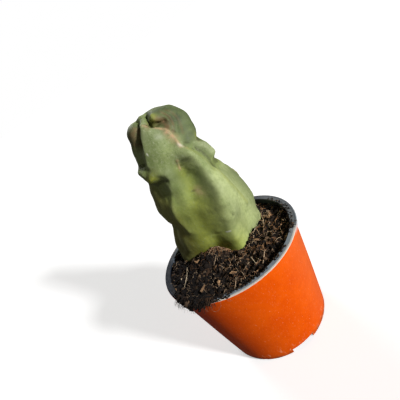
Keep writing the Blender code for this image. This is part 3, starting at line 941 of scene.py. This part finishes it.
def isRim(face):  # the rounded edge of the lip
    x, y, z = face.center / mm
    return z > pot["height"] - 0.4 and math.hypot(x, y) > pot["lipRadius"] - 1.6


potPiece = moulded()
paintPot(potPiece)
pick(potPiece)
bpy.ops.object.shade_smooth_by_angle(angle=math.radians(pot["smoothAngle"]))
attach(potPiece, "root")
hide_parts("pot")
print("pot moulded:", len(potPiece.data.polygons), "faces")


# the potting mix

mix = {
    "sides": 400,
    "rings": 200,
    "level": 78.6,
    "floor": 6.2,
    "gap": 0.35,
    "topShare": 0.7,
    # slopes: rise at the lip, the direction they face, and how sharply they turn and climb
    "slopes": ((3.6, 215, 2, 1.5), (-2.6, 50, 1, 1)),
    # heaps: rise, centre X and Y, and spread along X and Y
    "heaps": ((4.5, -20, -2, 13, 11), (3.6, -9, -1, 9, 6)),
    # roughness: height, size and seed
    "rough": ((0.9, 4.6, 5), (0.9, 2.3, 6), (0.55, 1.2, 7)),
    "sunk": (1.3, 288, 3),  # a dip beside the lip: depth, direction and sharpness
    "spill": (196, 244),
    "spillFade": 9,
    "spillReach": 5.4,
    "spillRagged": 1.1,
    "bulge": (2.2, 219, 9),  # how far, at which angle and how broad
    "droop": 1.1,
    "droopFrom": 51.6,
    "stemMiddle": 10,  # Y of the point that the stem's outline is measured from
    "stemLevel": (75, 82),
    "darkest": (0.005, 0.004, 0.004),
}


def inSpill(angles):  # 1 where the mix spills over the lip, 0 elsewhere
    first, last = mix["spill"]
    turned = np.mod(angles, 360)
    fade = mix["spillFade"]
    return np.clip((turned - first) / fade, 0, 1) * np.clip((last - turned) / fade, 0, 1)


def facing(angle, direction, sharpness):  # 1 in this direction, and less to its sides
    return np.maximum(0, np.cos(angle - math.radians(direction))) ** sharpness


def groundHeight(x, y):
    radius, angle = np.hypot(x, y), np.arctan2(y, x)
    height = mix["level"] + 0.45 * np.sin(0.55 * x + 1.3) * np.cos(0.5 * y) + 0.35 * np.sin(0.9 * y - 0.6 * x)
    for rise, direction, sharpness, steepness in mix["slopes"]:
        height += rise * facing(angle, direction, sharpness) * (radius / 48) ** steepness
    for rise, middleX, middleY, spreadX, spreadY in mix["heaps"]:
        height += rise * np.exp(-(((x - middleX) / spreadX) ** 2 + ((y - middleY) / spreadY) ** 2))
    for rise, size, seed in mix["rough"]:
        height += rise * lumps(np.stack([x, y, 0 * x], axis=-1), size, seed)
    depth, direction, sharpness = mix["sunk"]
    return height - depth * facing(angle, direction, sharpness) * np.clip((radius - 44) / 4, 0, 1)


def groundAt(x, y):
    return float(groundHeight(np.array([x]), np.array([y]))[0])


def groundEdge(angles):  # how far out the surface reaches
    turn = np.radians(angles)
    ragged = lumps(np.stack([50 * np.cos(turn), 50 * np.sin(turn), 0 * turn], axis=-1), 2.6, 9)
    far, middle, breadth = mix["bulge"]
    bulge = far * np.exp(-(((np.mod(angles, 360) - middle) / breadth) ** 2))
    spilt = (mix["spillReach"] + mix["spillRagged"] * ragged) * inSpill(angles)
    return pot["ledgeRadius"] - 0.25 + spilt + bulge


def edgeAt(angle):
    return float(groundEdge(np.array([angle]))[0])


def layMix():
    item, unit = fineBall("soil", mix["sides"], mix["rings"])
    mesh = item.data
    down = np.arccos(np.clip(unit[:, 2], -1, 1)) / math.pi
    turn = np.arctan2(unit[:, 1], unit[:, 0])
    edge = groundEdge(np.degrees(turn))
    topShare = mix["topShare"]  # the part of the ball, from its top down, that becomes the surface
    out = np.clip(down / topShare, 0, 1)
    x, y = edge * out * np.cos(turn), edge * out * np.sin(turn)
    z = groundHeight(x, y)
    onLip = pot["height"] + 0.25 + 0.5 * np.abs(lumps(np.stack([x, y, z], axis=1), 1.3, 8))
    radius = np.hypot(x, y)
    z = np.where(radius > pot["ledgeRadius"] - 0.2, np.maximum(z, onLip), z)
    z -= mix["droop"] * np.maximum(0, radius - mix["droopFrom"])
    below = down > topShare + 1e-6
    t = (down[below] - topShare) / (1 - topShare)
    sink = np.clip(t / 0.6, 0, 1)
    rim = z[below]
    z[below] = rim + (mix["floor"] - rim) * sink
    inner = wallRadius(z[below]) - pot["wall"] - mix["gap"]
    fit = np.clip((1 - t) / 0.4, 0, 1)
    reach = np.where(z[below] > pot["height"] - 0.1, edge[below], np.minimum(inner, edge[below])) * fit
    x[below], y[below] = reach * np.cos(turn[below]), reach * np.sin(turn[below])
    writePoints(mesh, np.stack([x, y, z], axis=1) * mm)
    pick(item)
    bpy.ops.object.shade_smooth()
    return item


def shadedLeft(finish, near, far, share, deeper, sparedTone, shadedTone):  # painted shade, darker to the left, save for pale bits
    across = finish.axis("X")
    left = finish.ramp(across, near, far, 0.0, share) + finish.ramp(across, -0.026, -0.036, 0.0, deeper)
    return left * finish.ramp(finish.layer("tone"), sparedTone, shadedTone)


def earthFinish():
    earth = Finish("potting mix", Roughness=0.9, Specular_IOR_Level=0.2)
    broad = earth.noise(6, 4.0)
    grain = earth.noise(0.8, 4.0, 0.7)
    colour = earth.coated(
        mix["darkest"],
        (earth.ramp(grain, 0.35, 0.75), (0.026, 0.019, 0.014)),
        (earth.ramp(broad, 0.52, 0.75, 0.0, 0.35), (0.07, 0.04, 0.022)),
        (earth.layer("tone"), (0.17, 0.105, 0.06)),
        # painted shade on the left
        (shadedLeft(earth, 0.004, -0.03, 0.7, 0.24, 0.75, 0.35), mix["darkest"]),
    )
    earth.feed(Base_Color=colour, Normal=earth.bump(grain, 0.5, 0.8))
    return earth


def woodFinish(name, dark, warm, light):
    wood = Finish(name, Roughness=0.8, Specular_IOR_Level=0.25)
    streaks = wood.noise(0.6, 4.0, 0.6, 0.4)
    colour = wood.coated(
        dark,
        (wood.ramp(wood.layer("tone"), 0.0, 0.4), warm),
        (wood.ramp(wood.layer("tone"), 0.4, 1.1), light),
        (wood.ramp(streaks, 0.4, 0.7, 0.0, 0.5), dark),
        # painted shade on the left
        (shadedLeft(wood, 0.006, -0.026, 0.75, 0.2, 0.95, 0.6), (0.016, 0.010, 0.007)),
    )
    wood.feed(Base_Color=colour, Normal=wood.bump(streaks, 0.15, 0.7))
    return wood


def stemOutline():  # the stem's outer reach at ground level, by direction
    x, y, z = readPoints(stemPiece.data).T / mm
    y = y - mix["stemMiddle"]
    low, high = mix["stemLevel"]
    level = (z > low) & (z < high)
    angles, reach = np.degrees(np.arctan2(y, x))[level] % 360, np.hypot(x, y)[level]
    steps = np.arange(0, 361, 4)
    outline = [reach[np.abs((angles - step + 180) % 360 - 180) < 4].max() for step in steps]
    return steps, np.array(outline)


outlineAngles, outlineReach = stemOutline()


def offStem(x, y):  # distance outside the stem's outline
    angle = math.degrees(math.atan2(y - mix["stemMiddle"], x)) % 360
    return math.hypot(x, y - mix["stemMiddle"]) - np.interp(angle, outlineAngles, outlineReach)


def scattered(rng, count, inside=-2.0):
    places = []
    while len(places) < count:
        angle = rng.uniform(0, 360)
        x, y = around(edgeAt(angle) * math.sqrt(rng.uniform(0.02, 1)), math.radians(angle))
        if offStem(x, y) > inside:
            places.append((x, y))
    heights = groundHeight(*np.array(places).T)
    return [(x, y, float(z)) for (x, y), z in zip(places, heights)]


def joined(name, copies):
    deselect()
    for item in copies:
        item.select_set(True)
    bpy.context.view_layer.objects.active = copies[0]
    bpy.ops.object.join()
    return named(name)


def copied(master, place, tone):  # place is in mm
    item = master.copy()
    item.data = master.data.copy()
    item.data.transform(Matrix.Scale(mm, 4) @ place)
    storeValue(item.data, "tone", tone)
    bpy.context.scene.collection.objects.link(item)
    return item


def anyTurn(rng):
    return Matrix.Rotation(rng.uniform(0, 6.28), 4, Vector([rng.uniform(-1, 1) for axis in range(3)]))


def leaning(rng, forward, sideways):
    lean = Matrix.Rotation(rng.uniform(-forward, forward), 4, "X")
    return lean @ Matrix.Rotation(rng.uniform(-sideways, sideways), 4, "Y")


grains = {
    # each kind: sizes, stretch along X, Y and Z, lift in sizes, and how rare the pale ones are
    "crumb": {
        "sizes": (0.2, 0.7), "stretch": ((0.8, 1.8), 1, (0.5, 0.9)), "lift": 0.25, "dark": 9,
        "bigShare": 0.12, "bigger": 1.6,
    },
    "lipCrumb": {"sizes": (0.2, 0.7), "stretch": ((0.8, 1.6), 1, 0.7), "lift": 0.3, "dark": 6},
    "clod": {"sizes": (1.0, 2.3), "stretch": (1, (0.7, 1), (0.55, 0.8)), "lift": 0.1, "dark": 7},
    "lipClod": {"sizes": (0.5, 1.4), "stretch": ((0.8, 1.4), 1, 0.8), "lift": 0.6, "dark": 9},
    "crumbs": 5600,
    "clods": 110,
    "lipClods": 170,
    # crumbs on the lip: from and to angle, outer radius and how many
    "lipCrumbs": (
        (318, 382, 50.2, 110),
        (324, 331, 52.3, 22),
        (196, 252, 52.2, 320),
        (250, 284, 49.4, 120),
        (290, 306, 49.6, 40),
    ),
    "lipClodSpread": (220, 9),  # middle angle and spread
    "lipClodFrom": 48.5,
    "shapes": 8,
    "largeShapes": 6,
    "chipped": (0.66, 1.15),
}


def crumbMasters(rng, detail, count):
    masters = []
    for number in range(count):
        deselect()
        bpy.ops.mesh.primitive_ico_sphere_add(subdivisions=detail, radius=1)
        masters.append(named(f"crumb {detail} {number}"))
        for point in masters[-1].data.vertices:
            point.co *= rng.uniform(*grains["chipped"])
    return masters


def onTheLip(rng):
    places = []
    for first, last, reach, count in grains["lipCrumbs"]:
        for number in range(count):
            angle = math.radians(rng.uniform(first, last))
            places.append(around(rng.uniform(pot["ledgeRadius"] - 0.3, reach), angle, pot["height"]))
    return places


def grainAt(rng, masters, kind, place, palest=1.0):
    size = rng.uniform(*kind["sizes"])
    if "bigShare" in kind and rng.random() < kind["bigShare"]:
        size *= kind["bigger"]
    stretch = [rng.uniform(*share) if isinstance(share, tuple) else share for share in kind["stretch"]]
    shape = Matrix.Diagonal([size * share for share in stretch] + [1])
    x, y, z = place
    at = Matrix.Translation((x, y, z + kind["lift"] * size))
    return copied(rng.choice(masters), at @ anyTurn(rng) @ shape, palest * rng.random() ** kind["dark"])


def crumbs():
    rng = random.Random(5)
    small, large = crumbMasters(rng, 1, grains["shapes"]), crumbMasters(rng, 2, grains["largeShapes"])
    copies = []
    for place in scattered(rng, grains["crumbs"]):
        copies.append(grainAt(rng, small, grains["crumb"], place))
    for place in onTheLip(rng):
        copies.append(grainAt(rng, small, grains["lipCrumb"], place))
    for place in scattered(rng, grains["clods"], -1.0):
        copies.append(grainAt(rng, large, grains["clod"], place))
    for number in range(grains["lipClods"]):
        turned = rng.gauss(*grains["lipClodSpread"])
        angle, radius = math.radians(turned), rng.uniform(grains["lipClodFrom"], edgeAt(turned) + 0.2)
        place = around(radius, angle, pot["height"] - mix["droop"] * max(0, radius - 51.8))
        copies.append(grainAt(rng, large, grains["lipClod"], place, palest=0.4))
    scrap(*small, *large)
    return joined("soil_crumbs", copies)


bark = {
    "shapes": 5,
    "chipped": (0.7, 1.1),
    "skew": 0.3,
    "count": 70,
    "sizes": (0.5, 1.3),
    "lean": 0.6,
    "colours": ((0.05, 0.025, 0.012), (0.2, 0.1, 0.05), (0.56, 0.34, 0.18)),  # from dark to light
    # bark pieces that lie on top: X, Y, half length, turn and tone
    "laid": (
        (-17.9, -33.1, 2.3, 60, 1.0),
        (-28.5, -30.1, 2.2, 20, 0.8),
        (-0.8, -44.7, 2.0, 100, 0.6),
        (-32.0, 13.1, 1.5, 30, 0.9),
        (-24.5, -1.5, 1.6, 140, 0.9),
        (-13.6, 0.1, 1.8, 70, 0.8),
        (18.1, -15.8, 1.7, 120, 0.8),
        (18.5, -24.0, 1.6, 40, 0.7),
        (33.7, -30.6, 1.4, 15, 0.9),
        (36.6, 2.7, 2.6, 50, 0.8),
        (34.0, 5.5, 1.8, 110, 0.7),
        (-21.8, -16.8, 3.2, 35, 0.25),
    ),
}


def chips():
    rng = random.Random(8)
    masters = []
    for number in range(bark["shapes"]):
        deselect()
        bpy.ops.mesh.primitive_cube_add(size=2)
        item = divided(named(f"chip {number}"))
        for point in item.data.vertices:
            point.co *= rng.uniform(*bark["chipped"])
            point.co.x += bark["skew"] * point.co.y
        masters.append(item)
    copies = []
    for x, y, z in scattered(rng, bark["count"], 0.5):
        size = rng.uniform(*bark["sizes"])
        shape = Matrix.Diagonal((size * rng.uniform(0.9, 1.8), size * 0.7, size * rng.uniform(0.15, 0.35), 1))
        lean = leaning(rng, bark["lean"], bark["lean"])
        turn = Matrix.Rotation(rng.uniform(0, 6.28), 4, "Z")
        place = Matrix.Translation((x, y, z + 0.35))
        copies.append(copied(rng.choice(masters), place @ turn @ lean @ shape, rng.random() ** 1.6))
    for x, y, size, turned, tone in bark["laid"]:
        for part in range(3):  # each piece is split and frayed
            shape = Matrix.Diagonal((size * rng.uniform(0.6, 1), size * rng.uniform(0.25, 0.5), 0.3, 1))
            turn = Matrix.Rotation(math.radians(turned + rng.uniform(-25, 25)), 4, "Z")
            lean = leaning(rng, 0.5, 0.4)
            shift = Vector([rng.uniform(-0.4, 0.4) * size, rng.uniform(-0.4, 0.4) * size, 0.5 + 0.25 * part])
            place = Matrix.Translation(Vector((x, y, groundAt(x, y))) + shift)
            copies.append(copied(rng.choice(masters), place @ turn @ lean @ shape, tone))
    scrap(*masters)
    return joined("bark_chips", copies)


roots = {
    # straws: thickness, tone, then their points (X, Y, height above the ground)
    "straws": (
        (0.36, 1.0, (-32.2, -1.1, 2.6), (-36.0, -9.0, 2.0), (-40.5, -16.5, 0.5)),
        (0.6, 1.1, (-40.2, -12.1, 0.8), (-39.6, -6.1, 2.4)),
        (0.55, 0.8, (-7.0, -37.3, 1.2), (-9.5, -42.0, 1.5), (-12.2, -46.3, 0.6)),
        (0.45, 0.9, (33.0, 6.0, 7.0), (30.5, -2.0, 4.0), (24.4, -12.3, 0.6)),
        (0.45, 0.8, (35.5, -17.2, 1.4), (34.4, -22.2, 0.5)),
        (0.8, 1.1, (40.6, -10.9, 1.2), (42.1, -15.0, 0.8)),
        (0.6, 1.0, (7.9, -25.4, 1.8), (7.8, -35.8, 0.8)),
        (0.8, 0.9, (17.0, -31.1, 1.6), (11.3, -38.7, 0.8)),
        (0.45, 0.75, (-10.0, -7.8, 2.0), (-15.5, -12.6, 0.6)),
        (0.5, 0.9, (-2.3, -35.3, 1.1), (-2.7, -43.1, 0.8)),
        (0.35, 1.0, (24.8, -1.8, 2.8), (19.3, -6.1, 0.8)),
    ),
    # roots that hang over the lip: points in X, Y, Z
    "overhang": (
        ((-28.6, -42.6, 81.9), (-29.4, -44.9, 80.2), (-29.9, -45.4, 76.6), (-27.4, -46.2, 75.7),
         (-23.9, -47.6, 78.9), (-22.6, -46.8, 81.8)),
        ((-31.5, -40.2, 81.9), (-33.6, -42.6, 79.6), (-33.0, -43.4, 77.2)),
        ((-18.0, -48.0, 81.9), (-18.6, -50.0, 80.6), (-16.4, -50.9, 79.4)),
        ((49.0, -15.4, 81.8), (51.8, -16.6, 82.3), (53.2, -17.4, 82.0)),
    ),
    # the fringe of fine roots along the stem's foot: X, Y at both ends, reach and how many
    "fringe": (-18.0, 3.0, 1.0, -6.0, 3.0, 210),
    "fringeThick": (0.16, 0.34),
    "overhangThick": 0.17,
    "fray": 190,  # fine roots that stick out over the lip where the mix spills
    "frayAngles": (204, 240),
    "frayThick": (0.14, 0.3),
    "hairs": 700,
    "hairThick": (0.16, 0.4),
    "reach": 49,
    "tones": (0.05, 0.35, 0.75, 1.1),
    "colours": ((0.07, 0.035, 0.018), (0.4, 0.2, 0.09), (0.78, 0.64, 0.44)),  # from dark to light
}


def strands(name, paths, tone):  # round threads along paths of (X, Y, Z), each with its thickness
    data = bpy.data.curves.new(name, "CURVE")
    data.dimensions = "3D"
    data.bevel_depth = 0.5 * mm
    data.bevel_resolution = 0
    data.use_fill_caps = True
    for thick, path in paths:
        thread = data.splines.new("POLY")
        thread.points.add(len(path) - 1)
        for number, (point, place) in enumerate(zip(thread.points, path)):
            middle = 1 - abs(2 * number / (len(path) - 1) - 1)
            point.co = (*(value * mm for value in place), 1)
            point.radius = thick * (0.5 + 0.5 * middle)
    item = bpy.data.objects.new(name, data)
    bpy.context.scene.collection.objects.link(item)
    pick(item)
    bpy.ops.object.convert(target="MESH")
    item = named(name)
    storeValue(item.data, "tone", tone)
    return item


def wandering(rng, x, y, length, count=7):  # a path that wanders over the ground
    heading, bend = rng.uniform(0, 6.28), rng.uniform(-0.35, 0.35)
    step = length / (count - 1)
    path = []
    for number in range(count):
        arch = rng.uniform(0.2, 0.8) + math.sin(math.pi * number / (count - 1)) * rng.uniform(0.2, 1.0)
        path.append((x, y, groundAt(x, y) + arch))
        x, y = x + step * math.cos(heading), y + step * math.sin(heading)
        if math.hypot(x, y) > roots["reach"]:
            break
        heading += bend + rng.uniform(-0.25, 0.25)
    return path


def smoothPath(stops, perStop=4):
    wanted = np.linspace(0, len(stops) - 1, perStop * (len(stops) - 1) + 1)
    return smoothRows(np.arange(len(stops)), stops, wanted)


def fibres():
    rng = random.Random(21)
    tones = roots["tones"]
    groups = {tone: [] for tone in tones}
    for x, y, z in scattered(rng, roots["hairs"], -0.5):
        path = wandering(rng, x, y, rng.uniform(1.2, 5) * (2 if rng.random() < 0.15 else 1))
        if len(path) > 2:
            groups[rng.choice(tones[:3])].append((rng.uniform(*roots["hairThick"]), path))
    for thick, tone, *stops in roots["straws"]:
        path = smoothPath([(x, y, groundAt(x, y) + lift) for x, y, lift in stops])
        groups[min(tones, key=lambda known: abs(known - tone))].append((thick, path))
    for stops in roots["overhang"]:
        groups[0.75].append((roots["overhangThick"], smoothPath(stops)))
    fromX, fromY, toX, toY, reach, count = roots["fringe"]
    for number in range(count):
        share = rng.random()
        x = fromX + (toX - fromX) * share + rng.uniform(-1, 1) * reach
        y = fromY + (toY - fromY) * share + rng.uniform(-1, 1) * reach
        group = groups[rng.choice((0.35, 0.35, 0.75))]
        thick, length = rng.uniform(*roots["fringeThick"]), rng.uniform(2, 4.5)
        group.append((thick, wandering(rng, x, y, length)))
    for number in range(roots["fray"]):
        angle = math.radians(rng.uniform(*roots["frayAngles"]))
        side = angle + rng.uniform(-0.03, 0.03)
        stops = [
            (48.5, angle, 1.2),
            (50.6, (angle + side) / 2, rng.uniform(1.0, 2.4)),
            (rng.uniform(52.4, 57), side, rng.uniform(-3.8, 2.0)),
        ]
        path = [around(radius, turn, pot["height"] + rise) for radius, turn, rise in stops]
        group = groups[rng.choice((0.05, 0.05, 0.35))]
        group.append((rng.uniform(*roots["frayThick"]), smoothPath(path)))
    return joined("fibres", [strands(f"fibres {tone}", paths, tone) for tone, paths in groups.items()])


soilPiece = layMix()
earth = earthFinish()
storeValue(soilPiece.data, "tone", 0)
wear(soilPiece, earth)
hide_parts("potting_mix")
crumbPiece = crumbs()
wear(crumbPiece, earth)
chipPiece = chips()
wear(chipPiece, woodFinish("bark", *bark["colours"]))
fibrePiece = fibres()
wear(fibrePiece, woodFinish("plant fibre", *roots["colours"]))
mixPieces = (soilPiece, crumbPiece, chipPiece, fibrePiece)
for piece in mixPieces:
    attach(piece, "root")
print("potting mix laid:", sum(len(piece.data.polygons) for piece in mixPieces), "faces")


[[list(corner) for corner in box] for box in (cadBox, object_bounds())]
